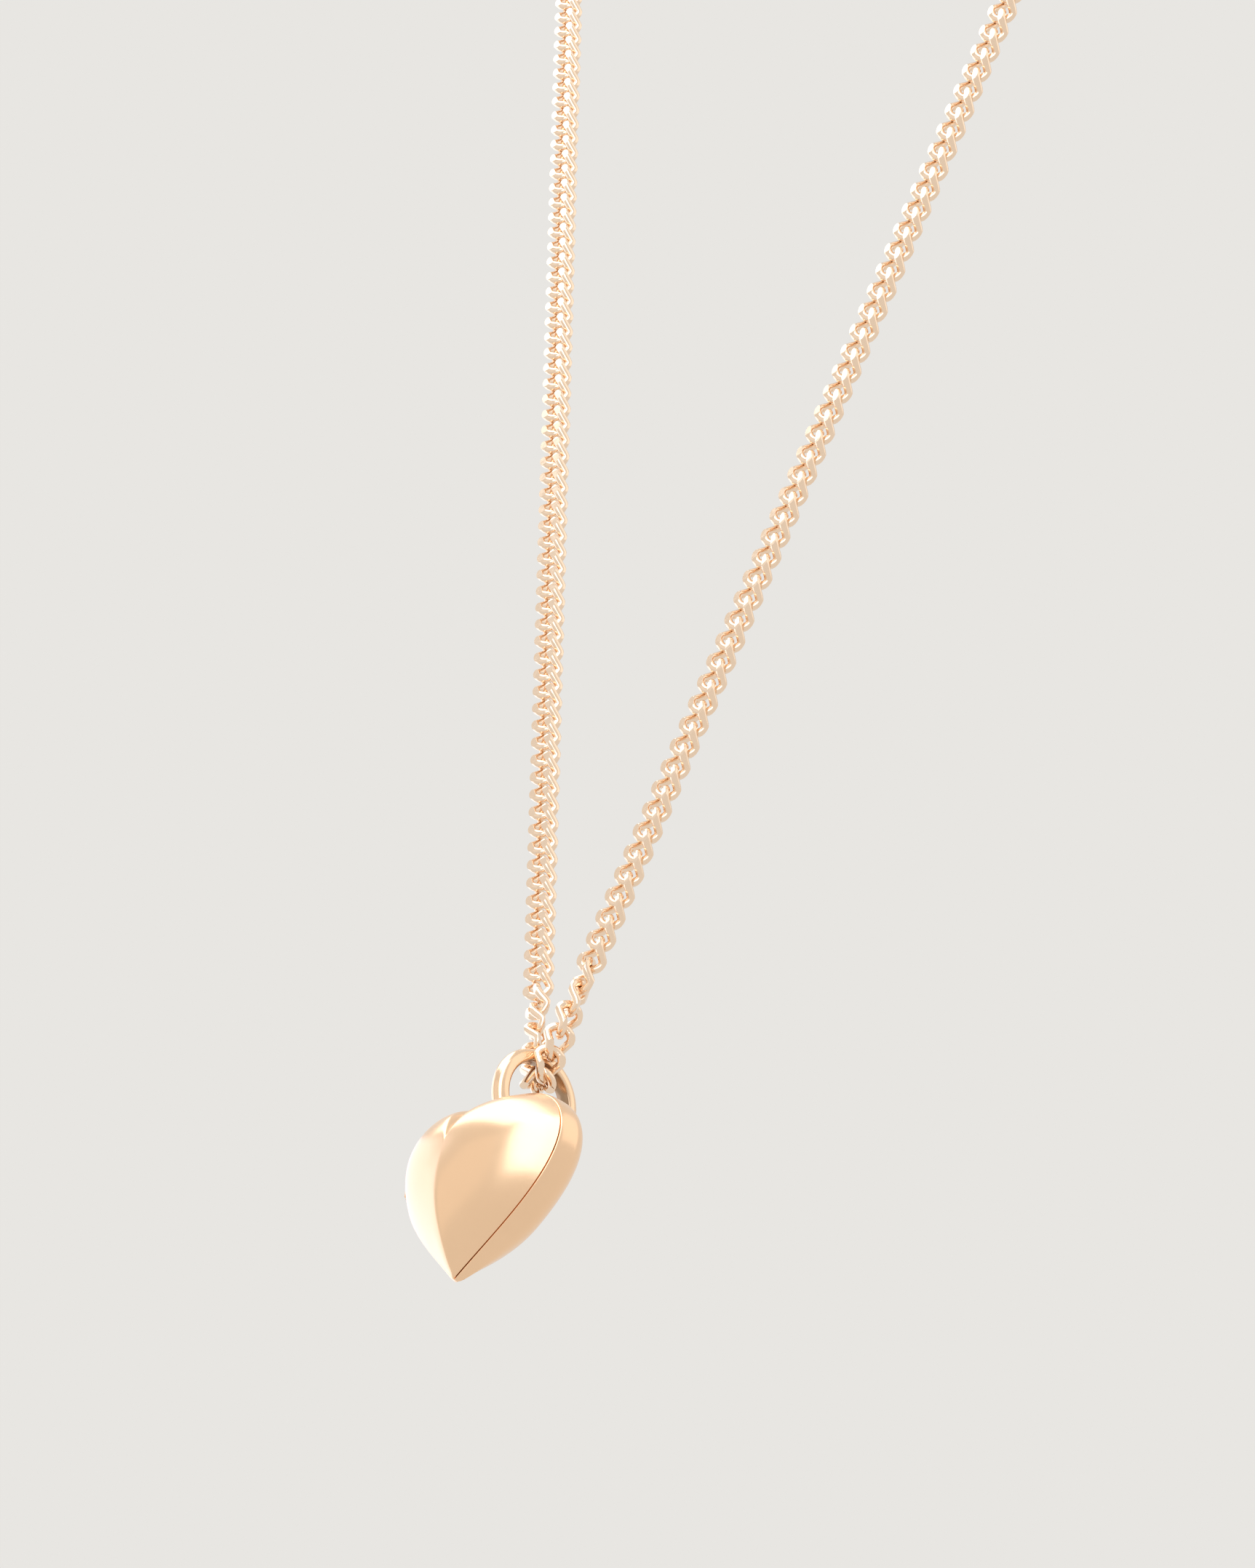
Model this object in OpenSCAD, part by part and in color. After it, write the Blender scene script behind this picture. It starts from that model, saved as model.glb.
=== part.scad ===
// Heart locket hanging on a diamond-cut curb chain.
// Front of the locket faces -Y, +Z is up, the origin is the point midway
// between the two held ends of the chain. All sizes are in millimetres.

/* [Heart] */
// half width of the lid at the seam
heart_half_w = 8.1; // [5:0.1:12]
// height from the tip to the top of the lobes
heart_h = 14.5; // [9:0.1:24]
// how far the lid domes forward of the seam
lid_rise = 3.8; // [2:0.05:5.5]
// power of the lid's lens shape, larger is fuller towards the seam
lens_power = 2.67; // [2.2:0.05:4]
// how far the case domes back behind its widest line
back_rise = 3; // [1.5:0.05:6]
// depth from the seam to the widest line of the case
side_depth = 1.3; // [0.6:0.05:3]
// how far the case swells out beyond the lid at the flanks
side_swell = 0.3; // [0.1:0.02:0.8]
// gap left between lid and case at the seam
seam_gap = 0.06; // [0.02:0.01:0.15]
// wall left at the middle of each dome
dome_wall = 0.75; // [0.4:0.05:1.2]
// points along the cleft, the lobe and the flank of half an outline
outline_steps = 9; // [5:1:14]
// rings across the lid's lens
lid_steps = 9; // [5:1:14]

/* [Picture seats] */
// outline share that the picture pocket takes
pocket_share = 0.8; // [0.6:0.01:0.84]
// depth of the straight-walled pocket
pocket_depth = 0.62; // [0.4:0.02:0.8]
// outline share that is open inside the frame
frame_open_share = 0.64; // [0.5:0.01:0.72]
// thickness of the retaining frame
frame_t = 0.25; // [0.15:0.01:0.4]
// thickness of the clear window
window_t = 0.26; // [0.15:0.01:0.4]
// clearance around the loose picture parts
seat_clear = 0.04; // [0.02:0.01:0.1]

/* [Hinge and catch] */
// radius of the hinge knuckles
knuckle_r = 0.34; // [0.28:0.02:0.5]
// radius of the hinge pin
pin_r = 0.16; // [0.1:0.01:0.24]
// radial running clearance of pin and recess
run_clear = 0.03; // [0.01:0.01:0.1]
// length of one knuckle
knuckle_l = 0.85; // [0.6:0.05:1.2]
// length of the catch tongue along the flank
tongue_l = 1.5; // [0.8:0.1:2.5]

/* [Hanging loop] */
// radius of the loop to the middle of its wire
loop_r = 3.2; // [2.2:0.1:4.5]
// radius of the loop's wire
loop_wire_r = 0.68; // [0.4:0.02:1]
// distance from the middle of the loop's wire to its flat inner face
loop_flat = 0.34; // [0.2:0.02:0.5]
// distance from the seam back to the loop
loop_back = 3.1; // [2:0.1:4]
// height of the loop's middle above the tip
loop_z = 16.45; // [14:0.05:20]

/* [Chain] */
// distance from one link to the next
link_pitch = 1.8; // [1.6:0.02:2.2]
// wire thickness of a link
link_wire = 0.58; // [0.45:0.01:0.6]
// half width of a link to the middle of its wire
link_half_w = 0.84; // [0.8:0.01:1]
// half length of a link's straight sides
link_side = 0.48; // [0.42:0.01:0.55]
// twist of a link out of its flat
link_twist = 0.5; // [0.48:0.01:0.6]
// height above the twist at which the high spots are cut flat
flat_rise = 0.07; // [0.05:0.01:0.2]
// play of a link along the chain
link_play = 0.06; // [0.02:0.01:0.12]
// links in the left strand
left_links = 71; // [6:1:74]
// links in the right strand
right_links = 55; // [6:1:60]
// lean of each strand from the upright
strand_lean = 15.6; // [12:0.1:24]
// step sideways from the turning link to each strand
turn_shift = 0.48; // [0.4:0.01:0.55]
// turn of the chain's plane about the upright
chain_turn = 0.5; // [-3:0.5:3]
// room left between the chain and the top of the loop
chain_room = 0.64; // [0.6:0.01:0.8]
// wire radius of the rings at the chain ends
ring_wire_r = 0.3; // [0.2:0.02:0.32]
// radius of the rings at the chain ends
ring_r = 1.25; // [1:0.05:1.8]

/* [Clasp] */
// radius of the clasp to the middle of its tube
clasp_r = 2.6; // [2:0.1:4]
// outer radius of the clasp's tube
tube_r = 0.7; // [0.5:0.05:1]
// radius of the sliding bolt
bolt_r = 0.42; // [0.3:0.02:0.6]
// angle of the clasp's mouth
mouth_deg = 55; // [40:1:70]

/* [Hidden] */
$fn = 48;

// the heart's outline, from curves through the cleft, lobe, flank and tip
lobe_x = 0.305 * heart_half_w;
flank_z = 0.68 * heart_h;
cleft_z = 0.787 * heart_h;
mid_z = 0.633 * heart_h;
seat_z = 0.585 * heart_h;
cleft_pull = 0.07 * heart_h;
cleft_deg = 65;
tip_pull = 0.28 * heart_h;
tip_deg = 47;
// shares of a curve's span at which its handles stand
cleft_ease = 0.44;
lobe_ease = 0.56;
flank_ease = 0.62;
function bez(p, t) = pow(1 - t, 3) * p[0] + 3 * pow(1 - t, 2) * t * p[1]
    + 3 * (1 - t) * t * t * p[2] + t * t * t * p[3];
CLEFT_TO_LOBE = [[0, cleft_z],
    [cleft_pull * cos(cleft_deg), cleft_z + cleft_pull * sin(cleft_deg)],
    [cleft_ease * lobe_x, heart_h], [lobe_x, heart_h]];
LOBE_TO_FLANK = [[lobe_x, heart_h],
    [lobe_x + lobe_ease * (heart_half_w - lobe_x), heart_h],
    [heart_half_w, flank_z + lobe_ease * (heart_h - flank_z)], [heart_half_w, flank_z]];
FLANK_TO_TIP = [[heart_half_w, flank_z], [heart_half_w, flank_ease * flank_z],
    [tip_pull * sin(tip_deg), tip_pull * cos(tip_deg)], [0, 0]];
RIGHT = concat([for (i = [0 : outline_steps - 1]) bez(CLEFT_TO_LOBE, i / outline_steps)],
    [for (i = [0 : outline_steps - 1]) bez(LOBE_TO_FLANK, i / outline_steps)],
    [for (i = [0 : outline_steps + 1]) bez(FLANK_TO_TIP, i / (outline_steps + 2))], [[0, 0]]);
LAST = len(RIGHT) - 1;
OUT = concat(RIGHT, [for (i = [1 : LAST - 1]) [-RIGHT[LAST - i][0], RIGHT[LAST - i][1]]]);
N = len(OUT);

// the lid is a lens: every ring is the outline drawn in towards the middle
function flat_ring(k, c, y) = [for (p = OUT) [k * p[0], y, c + k * (p[1] - c)]];
function lid_ring(k) = flat_ring(k, mid_z, -seam_gap / 2 - lid_rise * (1 - pow(k, lens_power)));
// the case swells out from the seam, then domes back, and thins out towards the tip
thin_z = 0.32 * heart_h;
tip_depth = 0.3;
back_power = 0.86;
swell_k = 1 + side_swell / heart_half_w;
function full(z) = 1 - pow(1 - min(1, max(0, z) / thin_z), 2);
function side_y(z) = side_depth * (tip_depth + (1 - tip_depth) * full(z));
function swell_ring(s) = let (k = 1 + (swell_k - 1) * sin(s))
    [for (p = OUT) [k * p[0], seam_gap / 2 + side_y(p[1]) * (1 - cos(s)),
        mid_z + k * (p[1] - mid_z)]];
function back_ring(a) = let (g = pow(cos(a), back_power), k = swell_k * g)
    [for (p = OUT) let (z = mid_z + k * (p[1] - mid_z))
        [k * p[0], seam_gap / 2 + side_y(p[1]) * g * g + side_depth * (1 - g * g)
            + back_rise * sin(a) * full(z), z]];
// hollow inside a dome: pocket, ledge, then a rounded hollow
function inner_rings(sgn, rise) = let (y0 = seam_gap / 2, y1 = y0 + pocket_depth,
        deep = rise - dome_wall - pocket_depth)
    concat([flat_ring(pocket_share, seat_z, sgn * y0)],
        [flat_ring(pocket_share, seat_z, sgn * y1)],
        [for (a = [0, 22, 44, 66])
            flat_ring(frame_open_share * cos(a), seat_z, sgn * (y1 + deep * sin(a)))]);

// a closed shell from rings that run from one pole to the other
module shell(pole_a, rings, pole_b, flip) {
    m = len(rings);
    points = concat([pole_a], [for (r = rings) for (p = r) p], [pole_b]);
    tail = 1 + m * N;
    faces = concat(
        [for (i = [0 : N - 1]) [0, 1 + (i + 1) % N, 1 + i]],
        [for (j = [0 : m - 2]) for (i = [0 : N - 1])
            let (a = 1 + j * N, b = a + N, n = (i + 1) % N)
                each [[a + i, a + n, b + n], [a + i, b + n, b + i]]],
        [for (i = [0 : N - 1]) let (a = 1 + (m - 1) * N) [tail, a + i, a + (i + 1) % N]]);
    polyhedron(points, flip ? [for (f = faces) [f[0], f[2], f[1]]] : faces, convexity = 8);
}

// the hinge lies let into the left flank, flush with the case
hinge_inset = 0.12;
hinge_x = -(heart_half_w + side_swell - knuckle_r - hinge_inset);
hinge_z = flank_z;
hinge_l = 3 * knuckle_l + 2 * run_clear;
recess_end = 0.1;
pin_end = 0.02;
leaf_l = 1.1;
leaf_t = 0.2;
leaf_y = 0.22;
module hinge_recess() {
    translate([hinge_x, 0, hinge_z - hinge_l / 2 - recess_end])
        cylinder(r = knuckle_r + 2 * run_clear, h = hinge_l + 2 * recess_end);
}
// a knuckle with the leaf that runs into the shell wall behind it
module knuckle(side) {
    translate([hinge_x, 0, hinge_z]) difference() {
        union() {
            cylinder(r = knuckle_r, h = knuckle_l, center = true);
            translate([leaf_l / 2, side * leaf_y, 0]) cube([leaf_l, leaf_t, knuckle_l], center = true);
        }
        cylinder(r = pin_r + run_clear, h = 2 * knuckle_l, center = true);
    }
}
// the catch is a springy tongue in the lid that goes into a slot in the case's rim
tongue_x = 0.885 * heart_half_w;
tongue_t = 0.42;
tongue_root = 0.5;
tongue_in = 0.85;
tongue_end = 0.1;
tongue_z = flank_z - 0.3;
module tongue(clear, from, to) {
    translate([tongue_x - tongue_t / 2 - clear, from, tongue_z - tongue_l / 2 - clear])
        cube([tongue_t + 2 * clear, to - from, tongue_l + 2 * clear]);
}

// the loop is bent from half-round wire, flat inside, and stands in the cleft on a short neck
neck_r = 0.7;
neck_sink = 1.6;
module loop_ring() {
    translate([0, loop_back, loop_z]) rotate([0, 90, 0]) difference() {
        rotate_extrude() translate([loop_r, 0]) circle(r = loop_wire_r);
        cylinder(r = loop_r - loop_flat, h = 4 * loop_wire_r, center = true);
    }
}

// curb link: two tilted end bows joined by two straight sides, with the high spots cut flat
link_half_l = (link_pitch + link_wire + link_play) / 2;
wire_r = link_wire / 2;
end_c = norm([link_half_w, link_twist]);
end_s = link_half_l - link_side;
end_r = (end_c * end_c + end_s * end_s) / (2 * end_s);
end_a = asin(end_c / end_r);
bow_tilt = atan2(link_twist, link_half_w);
side_lap = 0.06;
side_l = 2 * norm([link_side, link_twist]) + side_lap;
flat_h = link_twist + flat_rise;
module link() {
    intersection() {
        for (half = [0, 180]) rotate([0, 0, half]) {
            translate([link_half_l - end_r, 0, 0]) rotate([-bow_tilt, 0, 0]) rotate([0, 0, -end_a])
                rotate_extrude(angle = 2 * end_a) translate([end_r, 0]) circle(r = wire_r);
            translate([0, link_half_w, 0]) rotate([0, 90 + atan2(link_twist, link_side), 0])
                cylinder(r = wire_r, h = side_l, center = true);
        }
        cube([4 * link_half_l, 4 * link_half_w, 2 * flat_h], center = true);
    }
}

// one link turns under the top of the loop and the strands rise on both sides of it
rise_a = 90 - strand_lean;
chain_z = loop_z + loop_r - loop_flat - flat_h - chain_room;
RISE = [cos(rise_a), sin(rise_a)];
function strand_at(i) = [link_pitch / 2, 0] + (i + 0.5) * link_pitch * RISE;
module chain_frame() {
    translate([0, loop_back, chain_z]) rotate([0, 0, chain_turn]) children();
}
// the links roll round the strand until their flats face the front
roll_step = 22.5;
roll_full = 90;
function roll_at(i) = min(roll_full, roll_step * max(0, i - 1));
module on_link(side, i) {
    translate([side * strand_at(i)[0], -side * turn_shift, strand_at(i)[1]])
        rotate([0, -side * rise_a, 0]) rotate([side * roll_at(i), 0, 0]) children();
}
module strand(side, from, to) {
    chain_frame() for (i = [from : to - 1])
        on_link(side, i) link();
}
left_half = ceil(left_links / 2);
right_half = ceil(right_links / 2);

// the end rings hang on the last links, across their end bows
ring_gap = 0.03;
ring_near = link_half_l - wire_r - ring_wire_r - ring_gap;
function last_link(side) = (side > 0 ? right_links : left_links) - 1;
function last_at(side) = strand_at(last_link(side));
module at_end(side) {
    chain_frame() on_link(side, last_link(side)) rotate([0, 0, side > 0 ? 0 : 180])
        rotate([-bow_tilt, 0, 0]) children();
}
module end_ring() {
    translate([ring_near + ring_r, 0, 0]) rotate([90, 0, 0])
        rotate_extrude() translate([ring_r, 0]) circle(r = ring_wire_r);
}
// the clasp hangs beyond the left ring by its own small eye
eye_r = 0.95;
eye_wire_r = 0.28;
eye_gap = 0.04;
eye_sink = 0.12;
eye_x = ring_near + 2 * ring_r - ring_wire_r - eye_wire_r - eye_gap + eye_r;
clasp_x = eye_x + eye_r + eye_wire_r + clasp_r + tube_r - eye_sink;
module at_clasp() {
    at_end(-1) translate([clasp_x, 0, 0]) children();
}
module arc_tube(from, angle, r) {
    rotate([0, 0, from]) rotate_extrude(angle = angle) translate([clasp_r, 0]) circle(r = r);
}
// angles in the clasp, with the eye at 180: mouth, bore and bolt
mouth_from = 20;
body_from = mouth_from + mouth_deg;
bore_deg = 70;
seat_deg = 12;
bolt_lap = 8;
bolt_deg = mouth_deg + bolt_lap + 55;
over_deg = 5;
// the thumb knob stands on the bolt and runs in a slot of the tube
thumb_deg = body_from + 14;
thumb_r = 0.16;
thumb_h = 0.35;
knob_r = 0.24;
slot_half = 0.2;
slot_deg = mouth_deg + 18;
module thumb_slot() {
    rotate([0, 0, thumb_deg - 6]) rotate_extrude(angle = slot_deg)
        translate([clasp_r + bolt_r / 2, -slot_half]) square([tube_r, 2 * slot_half]);
}

LID_KS = [for (j = [1 : lid_steps]) j / lid_steps];
BACK_AS = [for (j = [7 : -1 : 1]) j * 12];
SWELL_AS = [90, 60, 30, 0];
module lid() {
    color([0.92, 0.76, 0.6]) difference() {
        shell([0, -seam_gap / 2 - lid_rise, mid_z],
            concat([for (k = LID_KS) lid_ring(k)], inner_rings(-1, lid_rise)),
            [0, -lid_rise + dome_wall, seat_z], false);
        hinge_recess();
    }
}
module case() {
    color([0.9, 0.73, 0.57]) difference() {
        shell([0, seam_gap / 2 + side_depth + back_rise, mid_z],
            concat([for (a = BACK_AS) back_ring(a)], [for (s = SWELL_AS) swell_ring(s)],
                inner_rings(1, side_depth + back_rise)),
            [0, side_depth + back_rise - dome_wall, seat_z], true);
        hinge_recess();
        tongue(seat_clear, -tongue_root, tongue_in + tongue_end);
    }
}
module hinge_knuckle_lid() {
    color([0.85, 0.68, 0.52]) knuckle(-1);
}
module hinge_knuckles_case() {
    color([0.85, 0.68, 0.52]) for (s = [-1, 1])
        translate([0, 0, s * (knuckle_l + run_clear)]) knuckle(1);
}
module hinge_pin() {
    color([0.8, 0.62, 0.46]) translate([hinge_x, 0, hinge_z])
        cylinder(r = pin_r, h = hinge_l + 2 * pin_end, center = true);
}
module catch_tongue() {
    color([0.85, 0.68, 0.52]) tongue(0, -tongue_root, tongue_in);
}
// heart plate of a share of the outline, from one depth to another
module plate(share, y0, t) {
    translate([0, y0 + t, 0]) rotate([90, 0, 0]) linear_extrude(height = t)
        polygon([for (p = OUT) [share * p[0], seat_z + share * (p[1] - seat_z)]]);
}
frame_share = pocket_share - seat_clear / 4;
frame_y = seam_gap / 2 + seat_clear / 2;
window_y = frame_y + frame_t + seat_clear / 2;
module picture_frame(y0) {
    difference() {
        plate(frame_share, y0, frame_t);
        plate(frame_open_share, y0 - 1, frame_t + 2);
    }
}
module lid_frame() {
    color([0.88, 0.7, 0.54]) picture_frame(-frame_y - frame_t);
}
module lid_window() {
    color([0.9, 0.95, 0.97, 0.5]) plate(frame_share, -window_y - window_t, window_t);
}
module case_frame() {
    color([0.88, 0.7, 0.54]) picture_frame(frame_y);
}
module case_window() {
    color([0.9, 0.95, 0.97, 0.5]) plate(frame_share, window_y, window_t);
}
module loop() {
    color([0.91, 0.74, 0.58]) {
        loop_ring();
        translate([0, loop_back, cleft_z - neck_sink])
            cylinder(r = neck_r, h = loop_z - loop_r - cleft_z + neck_sink);
    }
}
module chain_turn_link() {
    color([0.9, 0.72, 0.55]) chain_frame() link();
}
module strand_left_low() {
    color([0.9, 0.72, 0.55]) strand(-1, 0, left_half);
}
module strand_left_high() {
    color([0.9, 0.72, 0.55]) strand(-1, left_half, left_links);
}
module strand_right_low() {
    color([0.9, 0.72, 0.55]) strand(1, 0, right_half);
}
module strand_right_high() {
    color([0.9, 0.72, 0.55]) strand(1, right_half, right_links);
}
module ring_left() {
    color([0.88, 0.7, 0.54]) at_end(-1) end_ring();
}
module ring_right() {
    color([0.88, 0.7, 0.54]) at_end(1) end_ring();
}
module clasp_body() {
    color([0.9, 0.73, 0.57]) at_clasp() difference() {
        arc_tube(body_from, 360 - mouth_deg, tube_r);
        arc_tube(body_from - over_deg, over_deg + bore_deg + mouth_deg, bolt_r + run_clear);
        arc_tube(mouth_from - seat_deg, seat_deg + over_deg, bolt_r + run_clear);
        thumb_slot();
    }
}
module clasp_eye() {
    color([0.88, 0.7, 0.54]) at_end(-1) translate([eye_x, 0, 0])
        rotate_extrude() translate([eye_r, 0]) circle(r = eye_wire_r);
}
module clasp_bolt() {
    color([0.86, 0.69, 0.53]) at_clasp() {
        arc_tube(mouth_from - bolt_lap, bolt_deg, bolt_r);
        rotate([0, 0, thumb_deg]) translate([clasp_r, 0, 0]) rotate([0, 90, 0])
            cylinder(r = thumb_r, h = tube_r + thumb_h);
        rotate([0, 0, thumb_deg]) translate([clasp_r + tube_r + thumb_h, 0, 0]) sphere(r = knob_r);
    }
}

// everything is moved so that the origin is midway between the chain ends
chain_end_x = (last_at(1)[0] - last_at(-1)[0]) / 2;
chain_end_z = chain_z + (last_at(1)[1] + last_at(-1)[1]) / 2;
module frame() {
    translate([-chain_end_x * cos(chain_turn), -loop_back - chain_end_x * sin(chain_turn), -chain_end_z])
        children();
}
frame() lid();
frame() case();
frame() hinge_knuckle_lid();
frame() hinge_knuckles_case();
frame() hinge_pin();
frame() catch_tongue();
frame() lid_frame();
frame() lid_window();
frame() case_frame();
frame() case_window();
frame() loop();
frame() chain_turn_link();
frame() strand_left_low();
frame() strand_left_high();
frame() strand_right_low();
frame() strand_right_high();
frame() ring_left();
frame() ring_right();
frame() clasp_body();
frame() clasp_eye();
frame() clasp_bolt();
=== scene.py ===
import math

import bmesh
import bpy
from mathutils import Matrix, Vector


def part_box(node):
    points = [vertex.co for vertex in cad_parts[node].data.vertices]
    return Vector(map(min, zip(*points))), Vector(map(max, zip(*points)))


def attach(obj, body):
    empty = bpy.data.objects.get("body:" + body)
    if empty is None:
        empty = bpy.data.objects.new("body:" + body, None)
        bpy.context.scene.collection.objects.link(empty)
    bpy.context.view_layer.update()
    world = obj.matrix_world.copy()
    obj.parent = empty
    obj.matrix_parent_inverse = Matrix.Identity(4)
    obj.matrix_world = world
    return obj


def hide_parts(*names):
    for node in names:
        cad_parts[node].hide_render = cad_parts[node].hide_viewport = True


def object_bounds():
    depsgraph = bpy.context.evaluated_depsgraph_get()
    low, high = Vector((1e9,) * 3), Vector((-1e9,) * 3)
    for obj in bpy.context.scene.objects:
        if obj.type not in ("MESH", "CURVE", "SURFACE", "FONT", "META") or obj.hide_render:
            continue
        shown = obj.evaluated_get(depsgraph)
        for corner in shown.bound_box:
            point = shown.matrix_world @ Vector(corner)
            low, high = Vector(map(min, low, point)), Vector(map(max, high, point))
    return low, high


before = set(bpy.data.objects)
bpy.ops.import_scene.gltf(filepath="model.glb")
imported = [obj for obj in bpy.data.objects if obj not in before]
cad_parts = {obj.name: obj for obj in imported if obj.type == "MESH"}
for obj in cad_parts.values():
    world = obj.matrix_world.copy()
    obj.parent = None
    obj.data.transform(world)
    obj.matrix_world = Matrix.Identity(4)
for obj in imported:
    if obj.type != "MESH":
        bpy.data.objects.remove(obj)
cad_low, cad_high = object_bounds()


# The heart: a domed lid and a deeper case, hollow shells of rose gold plated brass, pressed
# from sheet and polished. Both are swept over rings of one outline. Their sizes come from
# the CAD shells, and their curves are those of the part's source.
MM = 0.001
lid_low, lid_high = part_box("lid")
case_low, case_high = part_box("case")
loop_low, loop_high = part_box("loop")
heart_x = (loop_low.x + loop_high.x) / 2
heart_h = lid_high.z - lid_low.z
half_w = lid_high.x - heart_x
seam_y = (lid_high.y + case_low.y) / 2
seam_gap = (case_low.y - lid_high.y) / 2
heart_shift = Vector((heart_x, seam_y, lid_low.z))
mid_z, seat_z = 0.633 * heart_h, 0.585 * heart_h
curve_steps, dome_steps, swell_steps = 44, 36, 12
shell_sharp = 40

lid_rise = lid_high.y - lid_low.y
lens_power = 2.67
ridge_soften, ridge_power = 44, 0.7
rim_land = 0.04 * MM
rim_edge = ((0.3, 0.3), (1, 0))

side_depth = 1.3 * MM
side_swell = (case_high.x - lid_high.x) / half_w
back_rise = case_high.y - case_low.y - side_depth
case_depth = side_depth + back_rise
back_power, tip_depth, thin_z = 0.86, 0.3, 0.32 * heart_h
tip_soften = 12

pocket_share, pocket_depth, open_share = 0.8, 0.62 * MM, 0.64
dome_wall = 0.75 * MM
hollow_steps, hollow_turn = 10, math.radians(8.5)


def brushed_metal(name, rough_low, rough_high, grain, bump):
    """Metal with faint polishing marks in its roughness and surface, on object coordinates."""
    mat = bpy.data.materials.new(name)
    mat.use_nodes = True
    nodes, links = mat.node_tree.nodes, mat.node_tree.links
    shader = nodes["Principled BSDF"]
    shader.inputs["Metallic"].default_value = 1
    place, noise = nodes.new("ShaderNodeTexCoord"), nodes.new("ShaderNodeTexNoise")
    noise.inputs["Scale"].default_value = grain
    noise.inputs["Detail"].default_value = 4
    links.new(place.outputs["Object"], noise.inputs["Vector"])
    spread = nodes.new("ShaderNodeMapRange")
    spread.inputs["From Min"].default_value = 0.3
    spread.inputs["From Max"].default_value = 0.7
    spread.inputs["To Min"].default_value = rough_low
    spread.inputs["To Max"].default_value = rough_high
    links.new(noise.outputs["Fac"], spread.inputs["Value"])
    links.new(spread.outputs["Result"], shader.inputs["Roughness"])
    relief = nodes.new("ShaderNodeBump")
    relief.inputs["Strength"].default_value = bump
    relief.inputs["Distance"].default_value = 0.02 * MM
    links.new(noise.outputs["Fac"], relief.inputs["Height"])
    links.new(relief.outputs["Normal"], shader.inputs["Normal"])
    return mat


def polished_gold(name, colour, rough_low, rough_high, grain, bump):
    """Brushed metal in a gold whose tone clouds very slightly."""
    mat = brushed_metal(name, rough_low, rough_high, grain, bump)
    nodes, links = mat.node_tree.nodes, mat.node_tree.links
    place, cloud = nodes.new("ShaderNodeTexCoord"), nodes.new("ShaderNodeTexNoise")
    cloud.inputs["Scale"].default_value = grain / 6
    tint = nodes.new("ShaderNodeValToRGB")
    dim, full = tint.color_ramp.elements
    dim.color = (0.985 * colour[0], 0.975 * colour[1], 0.96 * colour[2], 1)
    full.color = (*colour, 1)
    links.new(place.outputs["Object"], cloud.inputs["Vector"])
    links.new(cloud.outputs["Fac"], tint.inputs["Fac"])
    links.new(tint.outputs["Color"], nodes["Principled BSDF"].inputs["Base Color"])
    return mat


def finish_mesh(name, bm, mat, sharp_deg):
    bmesh.ops.recalc_face_normals(bm, faces=bm.faces)
    mesh = bpy.data.meshes.new(name)
    bm.to_mesh(mesh)
    bm.free()
    mesh.polygons.foreach_set("use_smooth", [True] * len(mesh.polygons))
    mesh.set_sharp_from_angle(angle=math.radians(sharp_deg))
    obj = bpy.data.objects.new(name, mesh)
    bpy.context.collection.objects.link(obj)
    obj.data.materials.append(mat)
    return obj


def curve_point(ends, t):
    a, b, c, d = ends
    return [(1 - t) ** 3 * a[i] + 3 * (1 - t) ** 2 * t * b[i] + 3 * (1 - t) * t * t * c[i]
            + t ** 3 * d[i] for i in (0, 1)]


def heart_outline():
    """Outline as (x, z) points from the cleft over the right lobe to the tip, and back."""
    lobe_x, flank_z, cleft_z = 0.305 * half_w, 0.68 * heart_h, 0.787 * heart_h
    cleft_pull, tip_pull = 0.07 * heart_h, 0.28 * heart_h
    cleft_a, tip_a = math.radians(65), math.radians(47)
    cleft_ease, lobe_ease, flank_ease = 0.44, 0.56, 0.62
    cleft = [(0, cleft_z),
             (cleft_pull * math.cos(cleft_a), cleft_z + cleft_pull * math.sin(cleft_a)),
             (cleft_ease * lobe_x, heart_h), (lobe_x, heart_h)]
    lobe = [(lobe_x, heart_h), (lobe_x + lobe_ease * (half_w - lobe_x), heart_h),
            (half_w, flank_z + lobe_ease * (heart_h - flank_z)), (half_w, flank_z)]
    flank = [(half_w, flank_z), (half_w, flank_ease * flank_z),
             (tip_pull * math.sin(tip_a), tip_pull * math.cos(tip_a)), (0, 0)]
    right = [curve_point(part, i / curve_steps)
             for part in (cleft, lobe, flank) for i in range(curve_steps)]
    right.append((0, 0))
    return right + [(-x, z) for x, z in right[-2:0:-1]]


outline = heart_outline()


def fullness(z):
    return 1 - (1 - min(1, max(0, z) / thin_z)) ** 2


def side_y(z):
    return side_depth * (tip_depth + (1 - tip_depth) * fullness(z))


def flat_ring(share, centre, y):
    return [(share * x, y, centre + share * (z - centre)) for x, z in outline]


def soften(ring, passes):
    for _ in range(passes):
        ring = [((p[0] + 2 * q[0] + r[0]) / 4, q[1], (p[2] + 2 * q[2] + r[2]) / 4)
                for p, q, r in zip(ring[-1:] + ring[:-1], ring, ring[1:] + ring[:1])]
    return ring


def lid_ring(share):
    y = -seam_gap - rim_land - (lid_rise - rim_land) * (1 - share ** lens_power)
    passes = round(ridge_soften * (1 - share) ** ridge_power)
    return soften(flat_ring(share, mid_z, y), passes)


def swell_ring(angle):
    share = 1 + side_swell * math.sin(angle)
    ring = [(share * x, seam_gap + side_y(z) * (1 - math.cos(angle)),
             mid_z + share * (z - mid_z)) for x, z in outline]
    return soften(ring, round(tip_soften * math.sin(angle)))


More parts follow.
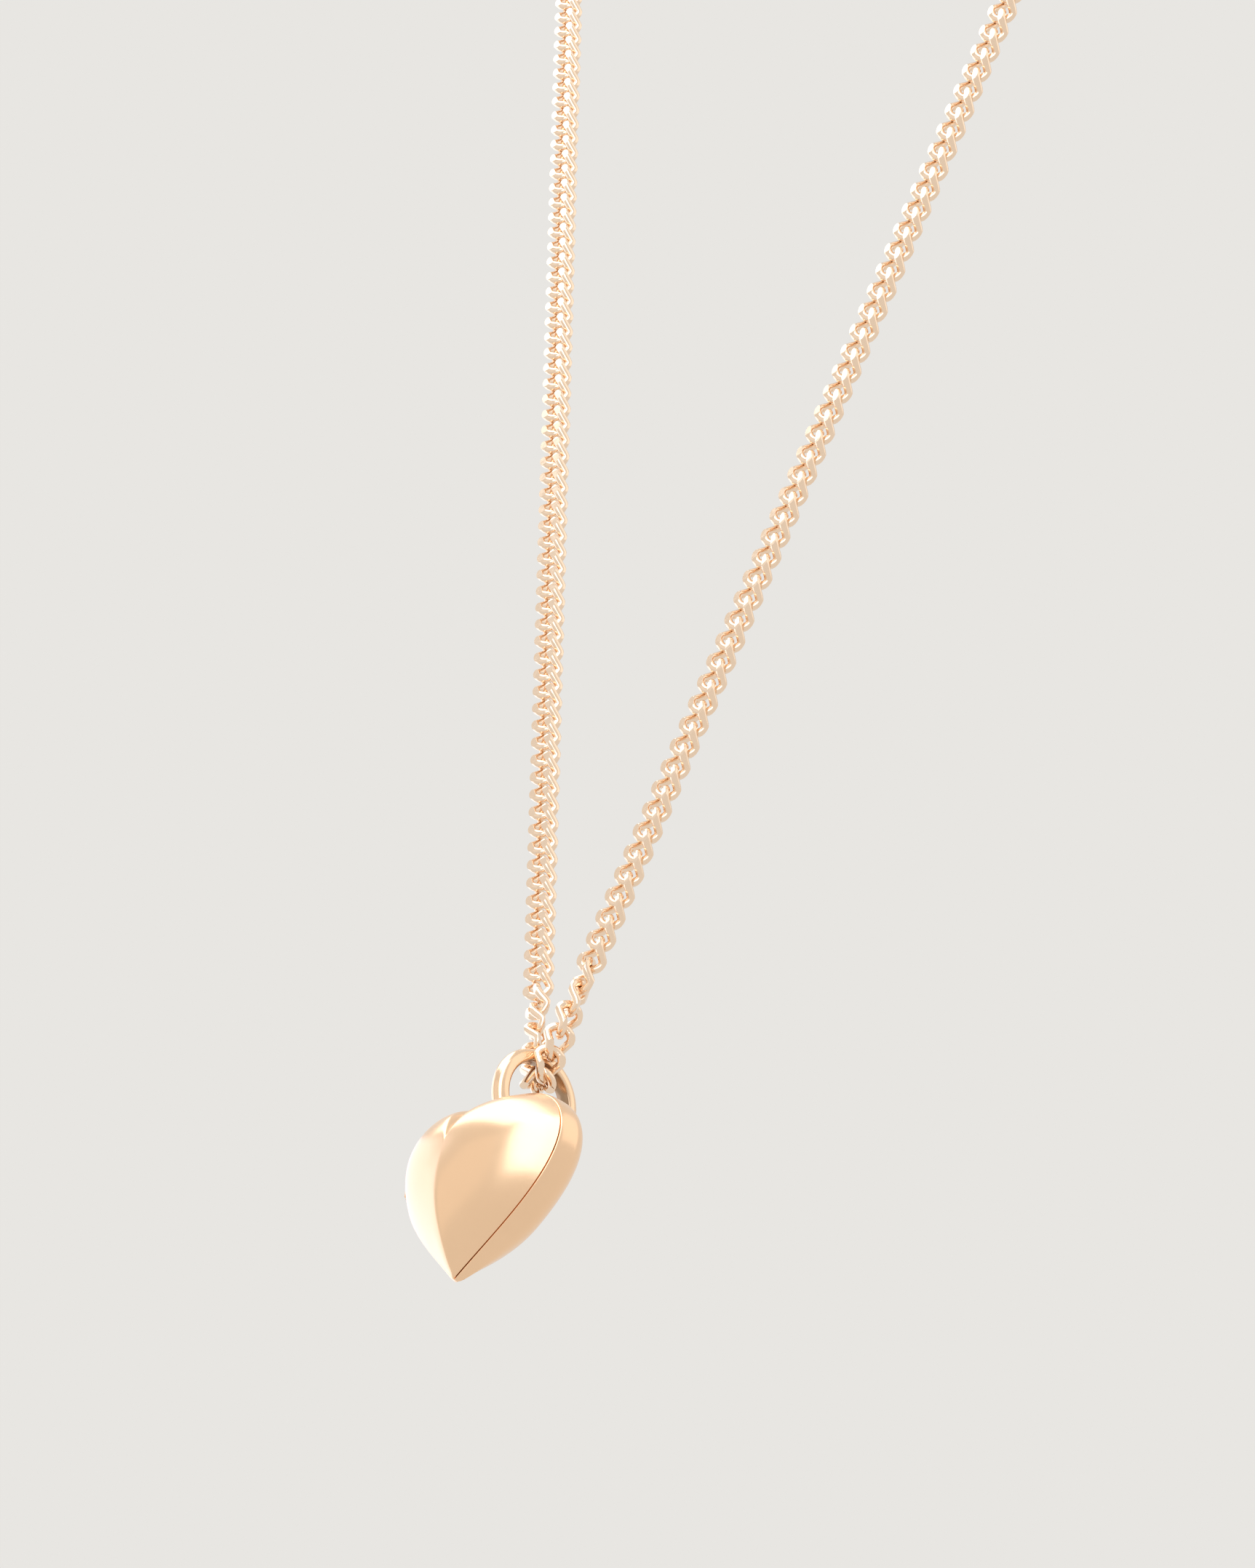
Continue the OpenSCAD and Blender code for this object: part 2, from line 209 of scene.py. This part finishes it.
def back_ring(angle):
    shrink = math.cos(angle) ** back_power
    share = (1 + side_swell) * shrink
    ring = []
    for x, z in outline:
        height = mid_z + share * (z - mid_z)
        y = side_y(z) * shrink ** 2 + side_depth * (1 - shrink ** 2)
        y += back_rise * math.sin(angle) * fullness(height)
        ring.append((share * x, seam_gap + y, height))
    return soften(ring, tip_soften)


def hollow_rings(side, rise):
    """The picture pocket with its ledge, then the rounded hollow behind it."""
    floor_y = seam_gap + pocket_depth
    deep = rise - dome_wall - pocket_depth
    rings = [flat_ring(pocket_share, seat_z, side * y) for y in (seam_gap, floor_y)]
    for i in range(hollow_steps):
        angle = i * hollow_turn
        rings.append(flat_ring(open_share * math.cos(angle), seat_z,
                               side * (floor_y + deep * math.sin(angle))))
    return rings


def shell(name, first, rings, last, mat):
    bm = bmesh.new()
    rows = [[bm.verts.new(Vector(p) + heart_shift) for p in ring] for ring in rings]
    poles = [bm.verts.new(Vector(p) + heart_shift) for p in (first, last)]
    count = len(outline)
    for i in range(count):
        j = (i + 1) % count
        for a, b in zip(rows, rows[1:]):
            bm.faces.new((a[i], a[j], b[j], b[i]))
        bm.faces.new((poles[0], rows[0][j], rows[0][i]))
        bm.faces.new((poles[1], rows[-1][i], rows[-1][j]))
    return finish_mesh(name, bm, mat, shell_sharp)


def quarter_turn(steps):
    return [math.radians(90 * (1 - i / steps)) for i in range(1, steps + 1)]


heart_gold = polished_gold("heart_gold", (0.99, 0.68, 0.44), 0.22, 0.26, 900, 0.015)
rim_rings = [flat_ring(1 - cut_in * rim_land / half_w, mid_z, -seam_gap - down * rim_land)
             for cut_in, down in rim_edge]
lid = shell("lid_shell", (0, -seam_gap - lid_rise, mid_z),
            [lid_ring(i / dome_steps) for i in range(1, dome_steps + 1)]
            + rim_rings + hollow_rings(-1, lid_rise),
            (0, -lid_rise + dome_wall, seat_z), heart_gold)
case = shell("case_shell", (0, seam_gap + case_depth, mid_z),
             [back_ring(a) for a in quarter_turn(dome_steps)]
             + [swell_ring(a) for a in quarter_turn(swell_steps)]
             + hollow_rings(1, case_depth),
             (0, case_depth - dome_wall, seat_z), heart_gold)


# The hinge and the catch's slot: gold barrels soldered to lid and case, let into a recess
# that is cut in both shells, and filed flush with the lid. The catch's slot is cut in the
# case's rim.
pin_low, pin_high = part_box("hinge_pin")
knuckle_low, knuckle_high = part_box("hinge_knuckles_case")
tongue_low, tongue_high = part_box("catch_tongue")
hinge_line = (pin_low + pin_high) / 2
recess_r = (pin_high.x + pin_low.x) / 2 - knuckle_low.x + 0.06 * MM
recess_l = knuckle_high.z - knuckle_low.z + 0.2 * MM
recess_sides = 48
slot_room = Vector((0.04 * MM,) * 3)
file_room, file_reach = 0.04 * MM, 2 * MM
weld_dist, solid_sharp = 0.0005 * MM, 35


def cut(obj, cutter, operation="DIFFERENCE"):
    mod = obj.modifiers.new("cut", "BOOLEAN")
    mod.object = cutter
    mod.operation = operation
    mod.solver = "EXACT"
    graph = bpy.context.evaluated_depsgraph_get()
    mesh = bpy.data.meshes.new_from_object(obj.evaluated_get(graph))
    obj.modifiers.clear()
    obj.data = mesh
    bpy.data.objects.remove(cutter)


def recess_cutter():
    bm = bmesh.new()
    bmesh.ops.create_cone(bm, cap_ends=True, segments=recess_sides, radius1=recess_r,
                          radius2=recess_r, depth=recess_l,
                          matrix=Matrix.Translation(hinge_line))
    return finish_mesh("recess", bm, heart_gold, shell_sharp)


def slot_cutter():
    bm = bmesh.new()
    low, high = tongue_low - slot_room, tongue_high + slot_room
    size, middle = high - low, (high + low) / 2
    bmesh.ops.create_cube(bm, size=1,
                          matrix=Matrix.Translation(middle) @ Matrix.Diagonal((*size, 1)))
    return finish_mesh("slot", bm, heart_gold, shell_sharp)


def flush_prism():
    """The lid's outline, a hair larger, to which the hinge barrels are filed flush."""
    bm = bmesh.new()
    front, back = [[bm.verts.new(Vector(p) + heart_shift)
                    for p in flat_ring(1 + file_room / half_w, mid_z, y)]
                   for y in (-file_reach, file_reach)]
    bm.faces.new(front)
    bm.faces.new(back[::-1])
    for i in range(len(front)):
        bm.faces.new((front[i - 1], front[i], back[i], back[i - 1]))
    return finish_mesh("prism", bm, heart_gold, shell_sharp)


def welded_solid(node, mat):
    """A copy of a CAD node's triangles with their shared points joined."""
    bm = bmesh.new()
    bm.from_mesh(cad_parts[node].data)
    bm.transform(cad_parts[node].matrix_world)
    bmesh.ops.remove_doubles(bm, verts=bm.verts, dist=weld_dist)
    return finish_mesh(node + "_metal", bm, mat, solid_sharp)


for node, body in (("hinge_knuckle_lid", "front"), ("hinge_knuckles_case", "locket")):
    barrel = welded_solid(node, heart_gold)
    cut(barrel, flush_prism(), "INTERSECT")
    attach(barrel, body)
    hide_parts(node)
cut(lid, recess_cutter())
cut(case, recess_cutter())
cut(case, slot_cutter())
for shell_obj, body, node in ((lid, "front", "lid"), (case, "locket", "case")):
    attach(shell_obj, body)
    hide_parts(node)


# The hanging loop: half-round gold wire bent to a ring, flat inside with softened edges, on
# a short neck that is soldered into the case's cleft. Its inner face is painted dark brown as
# painted shade.
loop_gold = brushed_metal("loop_gold", 0.14, 0.22, 1500, 0.05)
# The loop's gold, and a dark brown that is painted shade on the flat inner face, with the band
# over which that painted shade fades out.
loop_colour, inner_shade_colour = (0.98, 0.69, 0.46, 1), (0.4, 0.26, 0.16, 1)
shade_from, shade_to = 0.01 * MM, 0.12 * MM
loop_y = (loop_low.y + loop_high.y) / 2
ring_wire = 0.68 * MM
ring_flat, flat_soft = 0.34 * MM, 0.06 * MM
ring_radius = (loop_high.y - loop_low.y) / 2 - ring_wire
ring_z = loop_high.z - ring_wire - ring_radius
ring_middle = Vector((heart_x, loop_y, ring_z))
ring_steps, wire_steps = 128, 14
neck_r, neck_sides = 0.7 * MM, 48
neck_top = ring_z - ring_radius


def half_round(wire, flat, soft):
    """Section of the wire as (outward, sideways) points: a round back and a flat face."""
    reach = math.acos(-flat / wire)
    back = [(wire * math.cos(a), wire * math.sin(a))
            for a in (reach * (i / wire_steps - 1) for i in range(1, 2 * wire_steps))]
    edge, corner = wire * math.sin(reach), 0.3 * soft
    face = [(-flat + corner, edge - corner), (-flat, edge - soft), (-flat, 0),
            (-flat, soft - edge), (-flat + corner, corner - edge)]
    return back + face


def ring_sweep(bm, radius, section, matrix, around):
    rows = []
    for i in range(around):
        a = 2 * math.pi * i / around
        rows.append([bm.verts.new(matrix @ Vector(((radius + out) * math.cos(a),
                                                   (radius + out) * math.sin(a), side)))
                     for out, side in section])
    for i, row in enumerate(rows):
        following = rows[(i + 1) % around]
        for j in range(len(section)):
            m = (j + 1) % len(section)
            bm.faces.new((row[j], following[j], following[m], row[m]))


def paint_inner_shade(mat):
    """Painted shade: colour by the distance from the ring's axis, dark at the flat inner face.
    """
    nodes, links = mat.node_tree.nodes, mat.node_tree.links
    place, fade = nodes.new("ShaderNodeTexCoord"), nodes.new("ShaderNodeMapRange")
    inward, across, reach = (nodes.new("ShaderNodeVectorMath") for _ in range(3))
    inward.operation, across.operation, reach.operation = "SUBTRACT", "MULTIPLY", "LENGTH"
    inward.inputs[1].default_value = ring_middle
    across.inputs[1].default_value = (0, 1, 1)
    fade.inputs["From Min"].default_value = ring_radius - ring_flat + shade_from
    fade.inputs["From Max"].default_value = ring_radius - ring_flat + shade_to
    tone = nodes.new("ShaderNodeValToRGB")
    # The ramp runs from the painted shade at the inner face to the loop's gold.
    tone.color_ramp.elements[0].color = inner_shade_colour
    tone.color_ramp.elements[1].color = loop_colour
    links.new(place.outputs["Object"], inward.inputs[0])
    links.new(inward.outputs["Vector"], across.inputs[0])
    links.new(across.outputs["Vector"], reach.inputs[0])
    links.new(reach.outputs["Value"], fade.inputs["Value"])
    links.new(fade.outputs["Result"], tone.inputs["Fac"])
    links.new(tone.outputs["Color"], nodes["Principled BSDF"].inputs["Base Color"])


# Paint shade into the loop's colour at its flat inner face.
paint_inner_shade(loop_gold)
bm = bmesh.new()
ring_sweep(bm, ring_radius, half_round(ring_wire, ring_flat, flat_soft),
           Matrix.Translation(ring_middle) @ Matrix.Rotation(math.pi / 2, 4, "Y"), ring_steps)
bmesh.ops.create_cone(bm, cap_ends=True, segments=neck_sides, radius1=neck_r, radius2=neck_r,
                      depth=neck_top - loop_low.z,
                      matrix=Matrix.Translation((heart_x, loop_y, (neck_top + loop_low.z) / 2)))
loop = finish_mesh("loop_ring", bm, loop_gold, shell_sharp)
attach(loop, "locket")
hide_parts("loop")


# The chain: curb links of gold wire, each bent, twisted, soldered shut and cut flat at its
# high spots. One link is swept round its own line, then repeated along the strands, and
# each CAD node of the chain is one piece here.
chain_gold = polished_gold("chain_gold", (0.96, 0.75, 0.57), 0.1, 0.18, 2500, 0.05)
pitch, link_wire, link_half_l = 1.8 * MM, 0.64 * MM, 1.22 * MM
link_half_w, link_side, link_twist = 0.82 * MM, 0.48 * MM, 0.5 * MM
flat_rise = 0.07 * MM
link_sides, link_rounds, bow_steps, link_sharp = 16, 44, 7, 32
left_links, right_links = 71, 55
strand_lean, turn_shift, chain_turn = math.radians(15.6), 0.48 * MM, math.radians(0.5)
roll_step, roll_full = 22.5, 90
turn_low, turn_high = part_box("chain_turn_link")
turn_middle = (turn_low + turn_high) / 2
chain_frame = Matrix.Translation(turn_middle) @ Matrix.Rotation(chain_turn, 4, "Z")
rise_a = math.pi / 2 - strand_lean


def link_line():
    """Points round a link: an end bow, a side, the other end bow and the other side."""
    half_chord = math.hypot(link_half_w, link_twist)
    rise = link_half_l - link_side
    radius = (half_chord ** 2 + rise ** 2) / (2 * rise)
    reach = math.asin(half_chord / radius)
    ahead, tilt = Vector((1, 0, 0)), Vector((0, link_half_w, -link_twist)).normalized()
    bow = [Vector((link_half_l - radius, 0, 0))
           + radius * (math.cos(a) * ahead + math.sin(a) * tilt)
           for a in (reach * (i / bow_steps - 1) for i in range(2 * bow_steps + 1))]
    side = [Vector((link_side * s, link_half_w, -link_twist * s)) for s in (0.5, 0, -0.5)]
    half = bow + side
    return half + [Vector((-p.x, -p.y, p.z)) for p in half]


def smooth_line(points, count):
    """The closed line, smoothed once and divided into equal steps."""
    ends = len(points)
    points = [(points[i - 1] + 2 * p + points[(i + 1) % ends]) / 4
              for i, p in enumerate(points)]
    lengths = [(points[(i + 1) % ends] - p).length for i, p in enumerate(points)]
    step = sum(lengths) / count
    out, i, walked = [], 0, 0.0
    for k in range(count):
        while walked + lengths[i] < k * step:
            walked += lengths[i]
            i += 1
        share = (k * step - walked) / lengths[i]
        out.append(points[i].lerp(points[(i + 1) % ends], share))
    return out


def link_mesh():
    """One link: wire swept round its line, with both faces cut flat."""
    line = smooth_line(link_line(), link_rounds)
    link, rows = bmesh.new(), []
    for i, p in enumerate(line):
        along = (line[(i + 1) % link_rounds] - line[i - 1]).normalized()
        out = (p - along * p.dot(along)).normalized()
        up = along.cross(out)
        rows.append([link.verts.new(p + link_wire / 2 * (math.cos(a) * out + math.sin(a) * up))
                     for a in (2 * math.pi * j / link_sides for j in range(link_sides))])
    for i, row in enumerate(rows):
        following = rows[(i + 1) % link_rounds]
        for j in range(link_sides):
            m = (j + 1) % link_sides
            link.faces.new((row[j], following[j], following[m], row[m]))
    for face in (1, -1):
        made = bmesh.ops.bisect_plane(link, geom=link.verts[:] + link.edges[:] + link.faces[:],
                                      clear_outer=True, plane_no=(0, 0, face),
                                      plane_co=(0, 0, face * (link_twist + flat_rise)))
        rim = [e for e in made["geom_cut"] if isinstance(e, bmesh.types.BMEdge)]
        bmesh.ops.edgeloop_fill(link, edges=rim)
    mesh = bpy.data.meshes.new("link")
    link.to_mesh(mesh)
    link.free()
    return mesh


one_link = link_mesh()


def strand_links(side, first, last):
    for i in range(first, last):
        along = (i + 0.5) * pitch
        place = Vector((side * (pitch / 2 + along * math.cos(rise_a)), -side * turn_shift,
                        along * math.sin(rise_a)))
        roll = side * math.radians(min(roll_full, roll_step * max(0, i - 1)))
        yield (chain_frame @ Matrix.Translation(place) @ Matrix.Rotation(-side * rise_a, 4, "Y")
               @ Matrix.Rotation(roll, 4, "X"))


def chain_piece(node, places):
    bm = bmesh.new()
    for place in places:
        before = len(bm.verts)
        bm.from_mesh(one_link)
        bm.verts.ensure_lookup_table()
        bmesh.ops.transform(bm, matrix=place, verts=bm.verts[before:])
    piece = finish_mesh(node + "_links", bm, chain_gold, link_sharp)
    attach(piece, "chain")
    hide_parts(node)


left_half, right_half = math.ceil(left_links / 2), math.ceil(right_links / 2)
chain_piece("chain_turn_link", [chain_frame])
chain_piece("strand_left_low", strand_links(-1, 0, left_half))
chain_piece("strand_left_high", strand_links(-1, left_half, left_links))
chain_piece("strand_right_low", strand_links(1, 0, right_half))
chain_piece("strand_right_high", strand_links(1, right_half, right_links))


# The small metal pieces: hinge pin, catch tongue and picture frames in satin gold, end rings
# and clasp in the chain's gold. They are drawn or bent from wire, or cut from sheet, so the
# CAD solids are their whole shape, and welded copies of those are shown.
satin_gold = polished_gold("satin_gold", (0.9, 0.64, 0.42), 0.22, 0.34, 3000, 0.1)
for node, body, mat, slot in (("hinge_pin", "locket", satin_gold, "inner_gold"),
                              ("catch_tongue", "front", satin_gold, "inner_gold"),
                              ("lid_frame", "front", satin_gold, "inner_gold"),
                              ("case_frame", "locket", satin_gold, "inner_gold"),
                              ("ring_left", "chain", chain_gold, "chain_gold"),
                              ("ring_right", "chain", chain_gold, "chain_gold"),
                              ("clasp_body", "chain", chain_gold, "polished_gold"),
                              ("clasp_eye", "chain", chain_gold, "polished_gold"),
                              ("clasp_bolt", "bolt", chain_gold, "polished_gold")):
    piece = welded_solid(node, mat)
    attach(piece, body)
    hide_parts(node)


# The clear windows in front of the picture seats: thin acetate sheet, cut to a heart and
# held by the frames. The face is polished and a little rubbed.
sheet_colour, sheet_ior = (0.95, 0.97, 0.97, 1), 1.47
rub_scale, rub_low, rub_high = 1200, 0.02, 0.09


def clear_sheet():
    mat = bpy.data.materials.new("clear_sheet")
    mat.use_nodes = True
    nodes, links = mat.node_tree.nodes, mat.node_tree.links
    shader = nodes["Principled BSDF"]
    shader.inputs["Base Color"].default_value = sheet_colour
    shader.inputs["Transmission Weight"].default_value = 1
    shader.inputs["IOR"].default_value = sheet_ior
    place, rub = nodes.new("ShaderNodeTexCoord"), nodes.new("ShaderNodeTexNoise")
    rub.inputs["Scale"].default_value = rub_scale
    spread = nodes.new("ShaderNodeMapRange")
    spread.inputs["To Min"].default_value = rub_low
    spread.inputs["To Max"].default_value = rub_high
    links.new(place.outputs["Object"], rub.inputs["Vector"])
    links.new(rub.outputs["Fac"], spread.inputs["Value"])
    links.new(spread.outputs["Result"], shader.inputs["Roughness"])
    return mat


window_clear = clear_sheet()
for node, body in (("lid_window", "front"), ("case_window", "locket")):
    sheet = welded_solid(node, window_clear)
    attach(sheet, body)
    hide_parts(node)


# The room: a pale matt floor far below the hanging locket and a world of the same pale
# grey, which the camera, the metal and the clear sheet all see.
pale = (0.807, 0.791, 0.761, 1)
floor_drop, floor_half, floor_rough = 0.45, 4, 0.9
floor_place = Matrix.Translation((0, 0, cad_low.z - floor_drop))


def pale_floor():
    mat = bpy.data.materials.new("floor")
    mat.use_nodes = True
    nodes, links = mat.node_tree.nodes, mat.node_tree.links
    matt = nodes["Principled BSDF"]
    matt.inputs["Base Color"].default_value = pale
    matt.inputs["Roughness"].default_value = floor_rough
    plain, path, pick = (nodes.new("ShaderNode" + kind)
                         for kind in ("Emission", "LightPath", "MixShader"))
    plain.inputs["Color"].default_value = pale
    shown = path.outputs["Is Camera Ray"]
    for ray in ("Is Glossy Ray", "Is Transmission Ray"):
        either = nodes.new("ShaderNodeMath")
        either.operation = "MAXIMUM"
        links.new(shown, either.inputs[0])
        links.new(path.outputs[ray], either.inputs[1])
        shown = either.outputs[0]
    links.new(shown, pick.inputs[0])
    links.new(matt.outputs[0], pick.inputs[1])
    links.new(plain.outputs[0], pick.inputs[2])
    links.new(pick.outputs[0], nodes["Material Output"].inputs["Surface"])
    return mat


bm = bmesh.new()
bmesh.ops.create_grid(bm, x_segments=1, y_segments=1, size=floor_half, matrix=floor_place)
floor = finish_mesh("floor", bm, pale_floor(), shell_sharp)
world = bpy.data.worlds.new("room")
bpy.context.scene.world = world
world.use_nodes = True
world.node_tree.nodes["Background"].inputs["Color"].default_value = pale
world.node_tree.nodes["Background"].inputs["Strength"].default_value = 1.0


# The lamps: five soft boxes round the heart, each given by its turn to the right of the
# front and its rise in degrees, its size in metres, its brightness and its colour.
heart_middle = (lid_low + case_high) / 2
lamp_far = 0.6
cool, blue = (0.85, 0.92, 1), (0.66, 0.75, 1)


def soft_lamp(name, turn_deg, rise_deg, size, radiance, colour):
    turn, rise = math.radians(turn_deg), math.radians(rise_deg)
    away = Vector((math.sin(turn) * math.cos(rise), -math.cos(turn) * math.cos(rise),
                   math.sin(rise)))
    data = bpy.data.lights.new(name, "AREA")
    data.shape = "RECTANGLE"
    data.size, data.size_y = size
    data.color = colour
    data.energy = radiance * math.pi * size[0] * size[1]
    lamp = bpy.data.objects.new(name, data)
    lamp.location = heart_middle + lamp_far * away
    lamp.rotation_euler = away.to_track_quat("Z", "Y").to_euler()
    bpy.context.collection.objects.link(lamp)


soft_lamp("strip_right", 35, 18, (0.32, 1.05), 1.6, cool)
soft_lamp("box_above", -32, 59, (0.78, 0.38), 1.6, cool)
soft_lamp("box_left", -88, 7, (0.76, 0.6), 0.82, blue)
soft_lamp("fill_front", -14, -4, (0.5, 0.5), 0.11, (1, 0.9, 0.8))
soft_lamp("fill_right", 118, 46, (0.6, 0.6), 0.34, (1, 0.92, 0.86))


# The camera: in front of the locket, to its right and below, rolled as the photo is, with
# the focal length that fits the photo, given in the photo's pixels.
camera_place = Vector((0.34420, -0.24790, -0.33361))
camera_aim = Vector((0.02144, -0.01145, -0.09467))
camera_roll = math.radians(13.755)
photo_focal, photo_height = 9029.0, 2156
forward = (camera_aim - camera_place).normalized()
level = forward.cross(Vector((0, 0, 1))).normalized()
upward = level.cross(forward)
right = level * math.cos(camera_roll) + upward * math.sin(camera_roll)
above = upward * math.cos(camera_roll) - level * math.sin(camera_roll)
camera_turn = Matrix((right, above, -forward)).transposed().to_4x4()
camera_data = bpy.data.cameras.new("camera")
camera_data.sensor_fit = "VERTICAL"
camera_data.sensor_height = 36
camera_data.lens = photo_focal / photo_height * camera_data.sensor_height
camera_data.clip_start = 0.01
camera = bpy.data.objects.new("camera", camera_data)
camera.matrix_world = Matrix.Translation(camera_place) @ camera_turn
bpy.context.collection.objects.link(camera)
bpy.context.scene.camera = camera
bpy.context.scene.view_settings.view_transform = "Standard"
